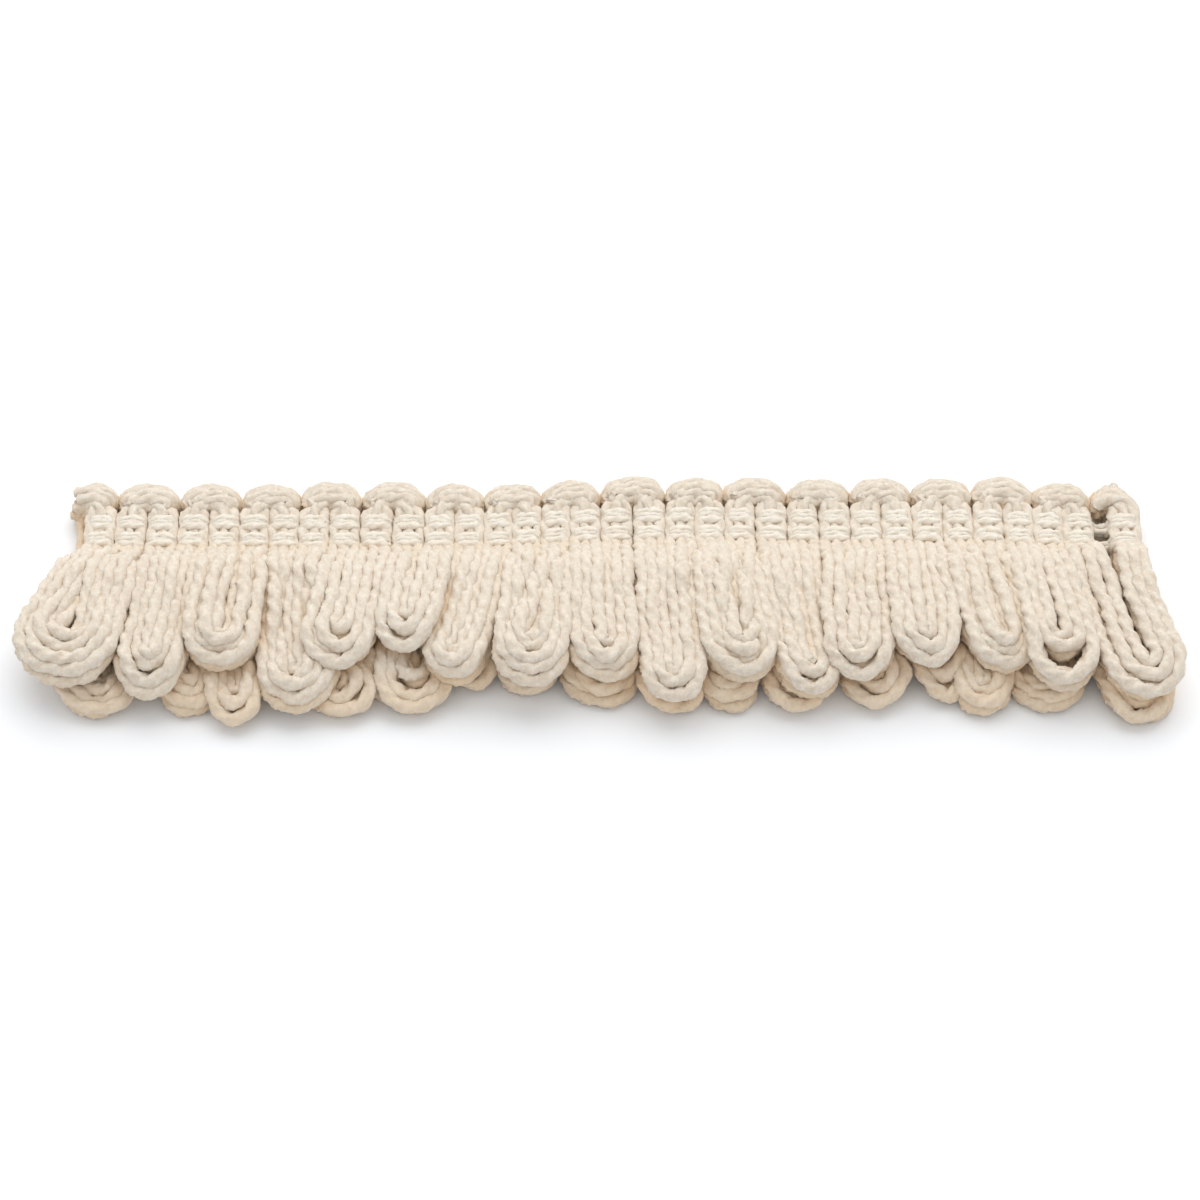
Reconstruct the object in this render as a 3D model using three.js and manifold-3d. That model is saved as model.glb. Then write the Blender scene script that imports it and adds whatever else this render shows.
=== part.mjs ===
// A cut length of loop fringe trim, lying on its back on a flat surface.
//
// A thick bundle of yarns zigzags along the trim. At the back it turns in a row of scallops, which two rows of
// chain stitches bind into a heading. At the front it runs out into long loops, in two layers: the lower loops
// lie on the surface, and the upper ones lie on them.
//
// Millimetres. X runs along the trim, +Y points from the loops to the scallops and +Z is up off the surface.

import * as THREE from "three";
import { mergeVertices } from "three/addons/utils/BufferGeometryUtils.js";
import Module from "manifold-3d";

const wasm = await Module();
wasm.setup();

// Driving dimensions.
const SCALLOPS = 18; // arches of the bundle, with one at each cut end
const SCALLOP_PITCH = 6.9;
const CUT_HALF_LENGTH = 60.2; // from the middle to each cut end of the heading
const HEADING_WIDTH = 10; // from the heading's front edge to the tops of the scallops
const GAP = 0.3; // left between pieces that touch
const OVERLAP = 0.15; // how far neighbours in one piece are pressed into each other
const SLIT = 0.2; // left between the two legs of a closed loop or arch

// The bundle in the heading: it is nipped thin under the chain stitches and full where it turns.
const LEG_SPACING = SCALLOP_PITCH / 2;
const TURN_RADIUS = LEG_SPACING / 2;
const LEG_INNER = TURN_RADIUS - SLIT / 2; // a leg's reach to each side of its path
const LEG_OUTER = TURN_RADIUS + OVERLAP;
const ARCH_HEIGHT = 3.3;
const NIPPED_HEIGHT = 2.5;
const TURN_Y = HEADING_WIDTH - TURN_RADIUS - LEG_OUTER;

// The rows of chain stitches: each lays one raised block across each leg of the bundle.
const CHAIN_ROWS = { chain_row_front: 1.15, chain_row_back: 3.55 }; // their distance from the heading's front edge
const CHAIN_WIDTH = 2;
const CHAIN_BASE = NIPPED_HEIGHT + GAP;
const CHAIN_NOTCH = 0.3; // thickness between two blocks
const CHAIN_CROWN = 0.5; // how far a block rises above the notches
const CHAIN_BLOCKS = 2 * SCALLOPS - 2; // the last leg at each cut end has come out of its stitches

// The two layers of loops. Both are thin at their roots, and full once they are past the swell.
const SWELL = 7;
const ROOT_DEPTH = 1; // of the bar that carries the loops along the heading's edge
const TIP_SWING = 1.4; // a loop swings aside more at its tip than on average, by this factor
const END_SPREAD = 1.2; // the loop at each cut end starts this much wider, because it has the cut leg's yarns too
const LOWER = { rootBase: 0, rootHeight: 1.5, base: 0, height: 3.3 };
const UPPER = { rootBase: 2.1, rootHeight: 1.2, base: 3.8, height: 3.6 };

// One row for each loop, from left to right. lean: how far its tip lies to the right of its root. splay: how far
// its legs swing to the right before they turn towards the tip. reach: from the heading's front edge to its tip.
// width: across the loop. eye: between its legs at the tip. rise: how far its tip is lifted off what it lies on.
const LOWER_LOOPS = [
  { lean: -0.2, splay: 0, reach: 23.2, width: 8.9, eye: SLIT, rise: 0 },
  { lean: 3, splay: 0, reach: 22.5, width: 7.2, eye: SLIT, rise: 0 },
  { lean: 1.2, splay: 0, reach: 24.1, width: 6.6, eye: SLIT, rise: 0 },
  { lean: 5.8, splay: 0, reach: 23.2, width: 7.8, eye: SLIT, rise: 0 },
  { lean: 4, splay: 0, reach: 20.5, width: 6.6, eye: SLIT, rise: 0 },
  { lean: -0.1, splay: 0, reach: 22.7, width: 8.1, eye: SLIT, rise: 0 },
  { lean: -0.5, splay: 0, reach: 19.4, width: 6.4, eye: SLIT, rise: 0 },
  { lean: -1.4, splay: 0, reach: 20.1, width: 6.6, eye: SLIT, rise: 0 },
  { lean: -0.2, splay: 0, reach: 21.5, width: 8.6, eye: SLIT, rise: 0 },
  { lean: 0.8, splay: 0, reach: 22.5, width: 7.4, eye: SLIT, rise: 0 },
  { lean: -0.1, splay: 0, reach: 22.2, width: 6.4, eye: SLIT, rise: 0 },
  { lean: 0.3, splay: 0, reach: 22.2, width: 7.8, eye: SLIT, rise: 0 },
  { lean: 2.6, splay: 0, reach: 21.8, width: 8.2, eye: SLIT, rise: 0 },
  { lean: 3.1, splay: 0, reach: 20.5, width: 7.6, eye: SLIT, rise: 0 },
  { lean: 0.2, splay: 0, reach: 22.9, width: 6.6, eye: SLIT, rise: 0 },
  { lean: 0.8, splay: 0, reach: 22.7, width: 11.2, eye: 4.6, rise: 0 },
  { lean: 3.3, splay: 0, reach: 24.3, width: 7.6, eye: SLIT, rise: 0 },
];
const UPPER_LOOPS = [
  { lean: -3.4, splay: -2.4, reach: 21.3, width: 11.2, eye: 1.4, rise: 0.3 },
  { lean: -1, splay: 0, reach: 22.1, width: 7.4, eye: SLIT, rise: 0 },
  { lean: -0.4, splay: 0, reach: 20.1, width: 8.3, eye: SLIT, rise: 0.8 },
  { lean: 1.1, splay: 0, reach: 23.6, width: 8.7, eye: SLIT, rise: 0 },
  { lean: -1.2, splay: 0, reach: 19.7, width: 8.1, eye: SLIT, rise: 0.4 },
  { lean: -0.8, splay: 0, reach: 17.7, width: 6.8, eye: SLIT, rise: 1.2 },
  { lean: -1.9, splay: 0, reach: 21.3, width: 7.7, eye: SLIT, rise: 0 },
  { lean: -0.9, splay: 0, reach: 21.6, width: 8.8, eye: 0.6, rise: 0.7 },
  { lean: 0.2, splay: 0, reach: 20.7, width: 8.1, eye: 0.8, rise: 0.2 },
  { lean: 0.8, splay: 0, reach: 23.2, width: 7.2, eye: SLIT, rise: 0 },
  { lean: 1.3, splay: 0, reach: 22.2, width: 8.5, eye: SLIT, rise: 0.6 },
  { lean: 1.8, splay: 0, reach: 22.4, width: 7.0, eye: SLIT, rise: 0 },
  { lean: 0.3, splay: 0, reach: 20.8, width: 7.9, eye: SLIT, rise: 0.5 },
  { lean: 0.8, splay: 0, reach: 19.2, width: 7.9, eye: SLIT, rise: 0.9 },
  { lean: 2.3, splay: 0, reach: 19.8, width: 8.3, eye: SLIT, rise: 0.2 },
  { lean: 1.5, splay: 0, reach: 18.4, width: 6.0, eye: 0.6, rise: 0.2 },
  { lean: 3.6, splay: 1.2, reach: 23.6, width: 8.8, eye: 0.8, rise: 0 },
];

const YARN = new THREE.MeshStandardMaterial({ color: "#e6dac8", roughness: 0.9, metalness: 0 });
const STITCH_YARN = new THREE.MeshStandardMaterial({ color: "#eadfce", roughness: 0.85, metalness: 0 });

// The section of a bundle that lies on something: flat below, crowned, and pressed flat against its other leg.
// Each point is [share of the reach, share of the height], and the negative side is the inner one of a turn.
const SECTION = [
  [-1, 0],
  [0.75, 0],
  [1, 0.42],
  [0.5, 1],
  [-0.9, 0.95],
];

const smooth = (t) => t * t * (3 - 2 * t);
const mix = (a, b, t) => a + (b - a) * t;

// A closed geometry as a solid that can be joined and cut.
function solidOf(geometry) {
  const bare = geometry.clone();
  bare.deleteAttribute("normal");
  bare.deleteAttribute("uv");
  const merged = mergeVertices(bare);
  const vertProperties = new Float32Array(merged.attributes.position.array);
  const triVerts = new Uint32Array(merged.index.array);
  return new wasm.Manifold(new wasm.Mesh({ numProp: 3, vertProperties, triVerts }));
}

// A solid as a named mesh.
function meshOf(solid, name, material) {
  const { vertProperties, triVerts } = solid.getMesh();
  const geometry = new THREE.BufferGeometry();
  geometry.setAttribute("position", new THREE.BufferAttribute(vertProperties, 3));
  geometry.setIndex(new THREE.BufferAttribute(triVerts, 1));
  geometry.computeVertexNormals();
  const mesh = new THREE.Mesh(geometry, material);
  mesh.name = name;
  return mesh;
}

function boxBetween(low, high) {
  const size = high.map((value, axis) => value - low[axis]);
  const middle = high.map((value, axis) => (value + low[axis]) / 2);
  return solidOf(new THREE.BoxGeometry(...size).translate(...middle));
}

// A closed body through stations along a level path. A station has its point, the direction to its outer side,
// the reach of the section to each side, its base height and its height.
function loft(stations) {
  const positions = [];
  for (const { point, side, inner, outer, base, height } of stations) {
    for (const [across, up] of SECTION) {
      const reach = across * (across < 0 ? inner : outer);
      positions.push(point.x + side.x * reach, point.y + side.y * reach, base + up * height);
    }
  }
  const corners = SECTION.length;
  const faces = [];
  for (let ring = 0; ring < stations.length - 1; ring++) {
    for (let corner = 0; corner < corners; corner++) {
      const a = ring * corners + corner;
      const b = ring * corners + ((corner + 1) % corners);
      faces.push(a, a + corners, b, b, a + corners, b + corners);
    }
  }
  const end = (stations.length - 1) * corners;
  for (let corner = 1; corner < corners - 1; corner++) {
    faces.push(0, corner, corner + 1);
    faces.push(end, end + corner + 1, end + corner);
  }
  const geometry = new THREE.BufferGeometry();
  geometry.setAttribute("position", new THREE.Float32BufferAttribute(positions, 3));
  geometry.setIndex(faces);
  return solidOf(geometry);
}

// One arch of the heading: up its right leg, round the scallop and down its left leg.
function archSolid(middleX) {
  const nipEnd = CHAIN_ROWS.chain_row_back + CHAIN_WIDTH / 2 + OVERLAP;
  const turnSteps = 5;
  const stations = [];
  const add = (x, y, side, height) => {
    const point = new THREE.Vector2(x, y);
    stations.push({ point, side, inner: LEG_INNER, outer: LEG_OUTER, base: 0, height });
  };
  const rightSide = new THREE.Vector2(1, 0);
  const leftSide = new THREE.Vector2(-1, 0);
  add(middleX + TURN_RADIUS, 0, rightSide, NIPPED_HEIGHT);
  add(middleX + TURN_RADIUS, nipEnd, rightSide, NIPPED_HEIGHT);
  for (let step = 0; step <= turnSteps; step++) {
    const angle = (Math.PI * step) / turnSteps;
    const side = new THREE.Vector2(Math.cos(angle), Math.sin(angle));
    add(middleX + TURN_RADIUS * side.x, TURN_Y + TURN_RADIUS * side.y, side, ARCH_HEIGHT);
  }
  add(middleX - TURN_RADIUS, nipEnd, leftSide, NIPPED_HEIGHT);
  add(middleX - TURN_RADIUS, 0, leftSide, NIPPED_HEIGHT);
  return loft(stations);
}

// The heading: every arch pressed against its neighbours, cut off square at both ends.
function headingSolid() {
  const arches = [];
  for (let arch = 0; arch < SCALLOPS; arch++) arches.push(archSolid((arch - (SCALLOPS - 1) / 2) * SCALLOP_PITCH));
  const past = CUT_HALF_LENGTH + SCALLOP_PITCH;
  const low = [CUT_HALF_LENGTH, -1, -1];
  const high = [past, HEADING_WIDTH + 1, ARCH_HEIGHT + 1];
  const offcuts = [boxBetween(low, high), boxBetween([-past, low[1], low[2]], [-CUT_HALF_LENGTH, high[1], high[2]])];
  return wasm.Manifold.union(arches).subtract(wasm.Manifold.union(offcuts));
}

// A row of chain stitches: a strip across the legs that rises in one crowned block over each of them.
function chainRowSolid(middleY) {
  const halfLength = (CHAIN_BLOCKS * LEG_SPACING) / 2;
  const notchTop = CHAIN_BASE + CHAIN_NOTCH;
  const outline = new THREE.Shape();
  outline.moveTo(-halfLength, CHAIN_BASE);
  outline.lineTo(halfLength, CHAIN_BASE);
  outline.lineTo(halfLength, notchTop);
  for (let block = CHAIN_BLOCKS - 1; block >= 0; block--) {
    const middle = (block + 0.5) * LEG_SPACING - halfLength;
    outline.absellipse(middle, notchTop, LEG_SPACING / 2, CHAIN_CROWN, 0, Math.PI, false, 0);
  }
  const strip = new THREE.ExtrudeGeometry(outline, { depth: CHAIN_WIDTH, bevelEnabled: false, curveSegments: 2 });
  strip.rotateX(Math.PI / 2);
  strip.translate(0, middleY + CHAIN_WIDTH / 2, 0);
  return solidOf(strip);
}

// A loop: out along its left leg, round its tip and back along its right leg.
function loopSolid(row, index, layer) {
  const rootX = (index - (SCALLOPS - 2) / 2) * SCALLOP_PITCH;
  const rootY = -GAP;
  const centre = new THREE.Vector2(rootX + row.lean, row.width / 2 - row.reach);
  const straight = rootY - centre.y;
  const swing = TIP_SWING * Math.atan2(row.lean - row.splay, straight);
  const cutSide = { 0: -1, [SCALLOPS - 2]: 1 }[index] ?? 0;
  const out = new THREE.Vector2(Math.sin(swing), -Math.cos(swing));
  const right = new THREE.Vector2(Math.cos(swing), Math.sin(swing));
  const radius = (row.width + row.eye) / 4;
  const tipReach = (row.width - row.eye) / 4;
  const legSteps = 3;
  const turnSteps = 5;
  const stations = [];

  const add = (point, along, share) => {
    const swollen = smooth(Math.min(Math.max(rootY - point.y, 0) / SWELL, 1));
    stations.push({
      point,
      side: new THREE.Vector2(along.y, -along.x).normalize(),
      inner: mix(LEG_INNER, tipReach, share),
      outer: mix(LEG_OUTER, tipReach, share),
      base: mix(layer.rootBase, layer.base, swollen) + row.rise * smooth(share),
      height: mix(layer.rootHeight, layer.height, swollen),
    });
  };
  // A leg starts square to the heading, and bends from its splay to the direction of the tip.
  const addLegPoint = (hand, share) => {
    const spread = hand === cutSide ? END_SPREAD : 0;
    const from = new THREE.Vector2(rootX + hand * (TURN_RADIUS + spread), rootY);
    const bend = new THREE.Vector2(from.x + row.splay, rootY - straight / 2);
    const to = centre.clone().addScaledVector(right, hand * radius);
    const early = from.lerp(bend, share);
    const late = bend.clone().lerp(to, share);
    const along = late.clone().sub(early).multiplyScalar(-hand);
    if (share === 0) along.set(0, hand);
    add(early.lerp(late, share), along, share);
  };
  for (let step = 0; step < legSteps; step++) addLegPoint(-1, step / legSteps);
  for (let step = 0; step <= turnSteps; step++) {
    const angle = (Math.PI * step) / turnSteps;
    const spoke = right.clone().multiplyScalar(-Math.cos(angle)).addScaledVector(out, Math.sin(angle));
    const along = new THREE.Vector2(-spoke.y, spoke.x);
    add(centre.clone().addScaledVector(spoke, radius), along, 1);
  }
  for (let step = legSteps - 1; step >= 0; step--) addLegPoint(1, step / legSteps);
  return loft(stations);
}

// A layer of loops on the bar that carries their roots.
function combSolid(rows, layer) {
  const loops = rows.map((row, index) => loopSolid(row, index, layer));
  const halfBar = (rows.length * SCALLOP_PITCH) / 2;
  const barTop = layer.rootBase + layer.rootHeight / 2;
  const bar = boxBetween([-halfBar, -GAP - ROOT_DEPTH, layer.rootBase], [halfBar, -GAP, barTop]);
  return wasm.Manifold.union([bar, ...loops]);
}

const trim = new THREE.Group();
trim.add(meshOf(headingSolid(), "heading", YARN));
for (const [name, middleY] of Object.entries(CHAIN_ROWS)) trim.add(meshOf(chainRowSolid(middleY), name, STITCH_YARN));
trim.add(meshOf(combSolid(LOWER_LOOPS, LOWER), "lower_loops", YARN));
trim.add(meshOf(combSolid(UPPER_LOOPS, UPPER), "upper_loops", YARN));

// The origin is under the middle of the whole trim.
const extent = new THREE.Box3().setFromObject(trim, true);
const middle = extent.getCenter(new THREE.Vector3());
trim.position.set(-middle.x, -middle.y, -extent.min.z);

export default trim;
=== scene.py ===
"""A cut length of loop fringe trim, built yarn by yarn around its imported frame.

A thick bundle of soft plied yarns zigzags along the trim: it turns in a row of arches at the back, runs
through a heading bound by two rows of chain stitches, and hangs out at the front in two layers of long loops.
Each yarn is one chain of points. The chains start from how each loop lies, settle against one another, and
become plied tubes.

Lengths are in millimetres, with x = 0 at the middle of the heading and y = 0 at its front edge, until a mesh
is written in metres in the row frame.
"""

import itertools
import logging
import math
from collections.abc import Sequence
from dataclasses import dataclass, field
from enum import Enum, IntEnum

import bpy
import numpy as np
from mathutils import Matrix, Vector


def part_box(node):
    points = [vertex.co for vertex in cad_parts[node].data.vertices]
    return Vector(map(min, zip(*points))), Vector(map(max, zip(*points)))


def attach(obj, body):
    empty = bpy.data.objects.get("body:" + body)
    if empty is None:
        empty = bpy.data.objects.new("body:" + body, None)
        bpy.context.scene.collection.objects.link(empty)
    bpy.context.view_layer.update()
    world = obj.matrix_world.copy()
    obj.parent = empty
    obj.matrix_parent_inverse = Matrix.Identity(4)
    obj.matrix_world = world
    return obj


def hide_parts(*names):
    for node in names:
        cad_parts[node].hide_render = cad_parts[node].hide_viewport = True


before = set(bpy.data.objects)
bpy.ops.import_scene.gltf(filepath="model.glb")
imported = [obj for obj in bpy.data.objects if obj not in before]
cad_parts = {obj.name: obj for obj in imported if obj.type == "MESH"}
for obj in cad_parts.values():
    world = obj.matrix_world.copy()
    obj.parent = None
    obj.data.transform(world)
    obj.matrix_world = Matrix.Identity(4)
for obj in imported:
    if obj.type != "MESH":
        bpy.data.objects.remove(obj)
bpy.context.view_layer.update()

MM = 0.001
POINT_STEP = 0.75  # between the points of a yarn
DRIFT_WAVES = ((1.0, 0.6), (0.57, 0.4), (0.31, 0.25))  # length and size of the waves in a random drift
DRIFT_RANGE = (0.85, 1.15)  # how much their lengths vary, as a share
LAST_LOOP = 16
MIDDLE_LOOP = 8
ROOT_BODY = "root"
LOG = logging.getLogger("fringe")

Array = np.ndarray
Colour = tuple[float, float, float, float]
Ramp = tuple[float, float, float, float]  # a low and a high value, then the two that they become


def smooth(share: Array | float) -> Array:
    """Ease a share from 0 to 1, level at both ends."""
    held = np.clip(share, 0.0, 1.0)
    return held * held * (3.0 - 2.0 * held)


def mix(low: Array | float, high: Array | float, share: Array | float) -> Array:
    """Blend two values by a share."""
    return low + (high - low) * share


def rounded(across: float, up: float) -> tuple[float, float]:
    """Move a place in a square section, -1 to 1 each way, to its place in a round one."""
    return across * math.sqrt(1 - up * up / 2), up * math.sqrt(1 - across * across / 2)


# ------------------------------------------------------------------------------------ how the trim lies


@dataclass(frozen=True)
class LoopLie:
    """How one loop lies."""

    lean: float  # how far its tip lies to the right of its evenly spaced place
    reach: float  # from the heading's front edge to the tip
    width: float
    eye: float = -0.1  # space between its legs at the tip
    rise: float = 0.0  # how far the tip is lifted
    splay: float = 0.0  # how far its legs swing to the right before they turn towards the tip
    slit: float = 0.0  # how far its inner yarns part just above the tip
    loose: float = 0.0  # how much further its outer yarns reach
    skew: float = 0.0  # share by which its middle lies to the right
    swell: float = 7.0  # distance from the heading in which its legs fill out
    plump: float = 1.0  # how much rounder its tip is than a flat loop's


LOWER_LOOPS = (
    LoopLie(-0.2, 23.2, 8.9),
    LoopLie(3.0, 22.5, 7.2),
    LoopLie(1.2, 24.1, 6.6),
    LoopLie(5.8, 23.2, 7.8),
    LoopLie(4.0, 20.5, 6.6),
    LoopLie(-0.1, 22.7, 8.1),
    LoopLie(-0.5, 19.4, 6.4),
    LoopLie(-1.4, 20.1, 6.6),
    LoopLie(-0.2, 21.5, 8.6),
    LoopLie(0.8, 22.5, 7.4),
    LoopLie(-0.1, 22.2, 6.4),
    LoopLie(0.3, 22.2, 7.8),
    LoopLie(2.2, 21.8, 7.6),
    LoopLie(3.1, 20.5, 7.6),
    LoopLie(0.2, 22.9, 6.6),
    LoopLie(0.4, 22.2, 9.0),
    LoopLie(3.3, 24.3, 7.6),
)
UPPER_LOOPS = (
    LoopLie(-3.1, 20.9, 12.0, eye=0.3, rise=0.6, splay=-1.1, slit=0.6, loose=0.8),
    LoopLie(-1.0, 22.1, 7.4, plump=1.8),
    LoopLie(-0.4, 20.1, 8.3, rise=0.8),
    LoopLie(1.1, 23.6, 8.7, rise=-1.4, plump=1.4),
    LoopLie(-1.2, 19.7, 7.8, rise=0.8, plump=1.9),
    LoopLie(-0.8, 17.9, 6.8, rise=1.5, plump=1.9),
    LoopLie(-2.5, 21.1, 6.8),
    LoopLie(-0.9, 21.4, 8.5, rise=0.7),
    LoopLie(0.2, 20.7, 8.1, eye=0.0, rise=0.2),
    LoopLie(0.8, 23.2, 7.2, rise=-0.6, plump=1.4),
    LoopLie(1.3, 21.2, 8.5, eye=0.0, rise=0.6, slit=0.1),
    LoopLie(1.8, 22.4, 6.7, rise=-0.6),
    LoopLie(0.3, 20.8, 7.9, rise=0.6, plump=1.8),
    LoopLie(0.8, 19.2, 7.6, rise=1.0, plump=1.9),
    LoopLie(2.3, 19.8, 8.3, rise=0.4, plump=1.8),
    LoopLie(1.5, 18.2, 6.6, eye=0.6, rise=0.5, slit=0.3, loose=3.4),
    LoopLie(3.4, 23.1, 8.7, eye=0.9, rise=-0.3, splay=0.9, skew=0.33, swell=4.5),
)


@dataclass(frozen=True)
class Heading:
    """The bound edge of the trim, from the front edge to the tops of the arches."""

    loop_pitch: float = 6.9  # between the evenly spaced places of the loops' tips
    notch_pitch: float = 6.87  # between the notches of the arches, which the stitches draw in a little
    notch_shifts: tuple[float, ...] = (
        0, 0.25, 0.28, 0.08, 0.1, 0.5, 0.35, -0.14, -0.4, 0.22, -0.16, 0.08, 0.4, 0.5, 0.45, 0.45, 0,
    )
    arch_lifts: tuple[float, ...] = (
        0.5, 0.1, 0.1, 0.15, 0.45, 0.45, 0.15, 0, 0, 0.15, 0.1, 0.1, 0, 0.25, 0.25, 0.6, 0.1, 0.3,
    )
    leg_half: float = 1.69  # from the first or last notch to the middle of the leg outside it
    leg_share: float = 0.25  # of the way to the next notch, where any other leg runs
    leg_start: float = 0.55  # the straight part of a leg starts here
    turn_y: float = 5.25  # and ends here, where the arch begins
    chain_rows: tuple[float, float] = (0.65, 3.25)
    bow_places: tuple[float, ...] = (-62, -52, -14, -6, 1, 14, 22, 44, 51, 60)
    bow_shifts: tuple[float, ...] = (-0.5, -0.65, -0.6, -0.1, 0.4, 0.5, 0.2, 0.15, -0.35, -0.5)
    bow_start: float = -7.0  # the loops in front of this aren't bent with the heading
    bow_ease: float = 6.0
    nip_reach: float = 0.85
    column_half: float = 1.2  # from the middle of a leg to its outer columns of yarns
    stack_middle: float = 1.55
    stack_half: float = 1.2
    nip: float = 0.1  # share by which the stitches draw a leg together
    bulge: float = 0.5  # how far a leg swells up between the stitches
    arch_start: float = 4.0  # where a leg's square section starts to turn round
    arch_ease: float = 1.3
    arch_radius: float = 1.4  # of the round section that a bundle takes in an arch
    arch_middle: float = 2.0
    arch_least: float = 0.5  # how near a yarn may come to the middle of its arch
    roll: float = 1.25  # angle by which the bundle rolls in an arch
    roll_by: float = 0.9  # how far into an arch it has rolled fully
    hump: float = 0.35  # how far the middle of an arch is lifted
    corner_side: float = 0.62  # how square an arch is, from 1 for a plain round
    corner_rise: float = 0.78
    right_spread: float = 2.1  # the last leg at the right end has come loose

    def notch(self, k: int) -> float:
        """Give the place along the trim of the notch from which loop k hangs."""
        return (k - MIDDLE_LOOP) * self.notch_pitch + self.notch_shifts[k]

    def leg(self, k: int, hand: int) -> float:
        """Find a leg of a loop.

        Args:
            k: The loop.
            hand: -1 for its left leg, 1 for the right.

        Returns:
            The leg's middle in the heading.
        """
        if k == LAST_LOOP and hand == 1:
            return self.notch(k) + self.leg_half + self.right_spread
        if k == 0 and hand == -1:
            return self.notch(k) - self.leg_half
        here, beside = self.notch(k), self.notch(k + hand)
        return here + self.leg_share * (beside - here)

    def nipped(self, y: Array) -> Array:
        """Say how much the chain stitches squeeze a leg at a distance from the front edge, from 0 to 1."""
        return sum(np.exp(-(((y - row) / self.nip_reach) ** 2)) for row in self.chain_rows)

    def bowed(self, points: Array) -> Array:
        """Bend points with the heading, which doesn't lie quite straight.

        Args:
            points: The points.

        Returns:
            The points where the bent heading has them.
        """
        bent, share = points.copy(), smooth((points[:, 1] - self.bow_start) / self.bow_ease)
        bent[:, 1] += np.interp(points[:, 0], self.bow_places, self.bow_shifts) * share
        return bent

    def section(self, across: float, up: float, y: Array) -> tuple[Array, Array]:
        """Place a yarn in the section of a leg.

        Args:
            across: -1 at the column next to the loop's middle, 1 at the outermost one.
            up: -1 at the lowest level, 1 at the top one.
            y: Distances from the front edge.

        Returns:
            The offset across the bundle and the height of the yarn's middle.
        """
        nipped = self.nipped(y)
        squeeze = 1.0 - self.nip * nipped
        share = smooth((y - self.arch_start) / self.arch_ease)
        turn_across, turn_up = rounded(across, up)
        offset = mix(across * self.column_half * squeeze, turn_across * self.arch_radius, share)
        height = mix(
            self.stack_middle + up * self.stack_half * squeeze + self.bulge * (1 - nipped) * (up + 1) / 2,
            self.arch_middle + turn_up * self.arch_radius,
            share,
        )
        return offset, height

    def rolled(self, across: float, up: float, turned: Array) -> tuple[Array, Array]:
        """Place a yarn in the section of an arch, where the bundle rolls outward side up.

        Args:
            across: -1 at the column next to the loop's middle, 1 at the outermost one.
            up: -1 at the lowest level, 1 at the top one.
            turned: How far into the arch each place is, from 0 at a leg to 1 at the arch's middle.

        Returns:
            How far the yarn's middle lies outside the bundle's own middle, and its height.
        """
        inward, upward = rounded(across, up)
        roll = self.roll * smooth(turned / self.roll_by)
        out = inward * np.cos(roll) - upward * np.sin(roll)
        high = upward * np.cos(roll) + inward * np.sin(roll)
        height = self.arch_middle + high * self.arch_radius + self.hump * smooth(turned)
        return out * self.arch_radius, height

    def arched(self, middle: float, radius: Array, lift: float, angle: Array) -> tuple[Array, Array]:
        """Bend a yarn over a full, almost square arch.

        Args:
            middle: The arch's middle along the trim.
            radius: The yarn's radius at each angle.
            lift: How far the arch stands out.
            angle: The angles, from 0 at the left.

        Returns:
            The places along the trim and the distances from the front edge.
        """
        side, rise = np.cos(angle), np.sin(angle)
        x = middle - radius * (np.sign(side) * np.abs(side) ** self.corner_side)
        return x, self.turn_y + (radius + lift) * np.abs(rise) ** self.corner_rise


HEADING = Heading()


@dataclass(frozen=True)
class CutEnds:
    """How the bundle ends at its two cuts."""

    left_reach: float = 1.7  # how far the upper yarns run on to the left
    left_fan: float = 0.3
    left_fray: tuple[float, float] = (-0.3, 0.25)
    left_drop: float = 0.3
    left_sink: float = 0.2
    foot_level: float = -0.2  # yarns up to this level run down to the surface and back under the arch
    foot_height: float = 0.5
    foot_step: float = 0.75  # between the feet of two levels
    foot_shift: float = 0.1
    foot_fan: float = 0.5
    foot_slant: float = 0.3
    foot_fray: tuple[float, float] = (-0.3, 1.0)
    foot_top: float = 0.6
    right_radius: float = 1.3
    right_inner: float = 1.1  # how far inside that a yarn may lie
    right_turn: tuple[float, float] = (2.6, 3.1)  # the angle that the loose arch keeps
    right_roll: float = 0.7
    right_narrow: float = 0.25
    right_narrow_by: float = 2.5
    tuft_level: float = 0.7  # yarns over this level, but not in the outer column, stick out as a tuft
    tuft_column: float = 0.5
    tuft_shift: float = 0.9
    tuft_fan: float = 0.5
    tuft_side: float = 0.2
    tuft_reach: float = 3.6
    tuft_fray: tuple[float, float] = (-0.5, 0.2)


CUTS = CutEnds()


class Ply(Enum):
    """How finely the three plies of a yarn are shaped: corners in a ring, and rings in one full turn."""

    FINE = (12, 14)
    MIDDLE = (9, 11)


class Stream(IntEnum):
    """What a layer's seed is multiplied by, so that its parts don't draw the same random numbers."""

    SEATS = 1000
    TILTS = 77
    YARNS = 100


@dataclass(frozen=True)
class Slot:
    """The place that one yarn keeps in the heading's bundle."""

    column: float  # -1 next to the loop's middle and 1 outermost
    level: float  # -1 on the surface and 1 on top
    pinch: float = 0.81  # its size in the heading, as a share
    ply: Ply = Ply.FINE


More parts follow.
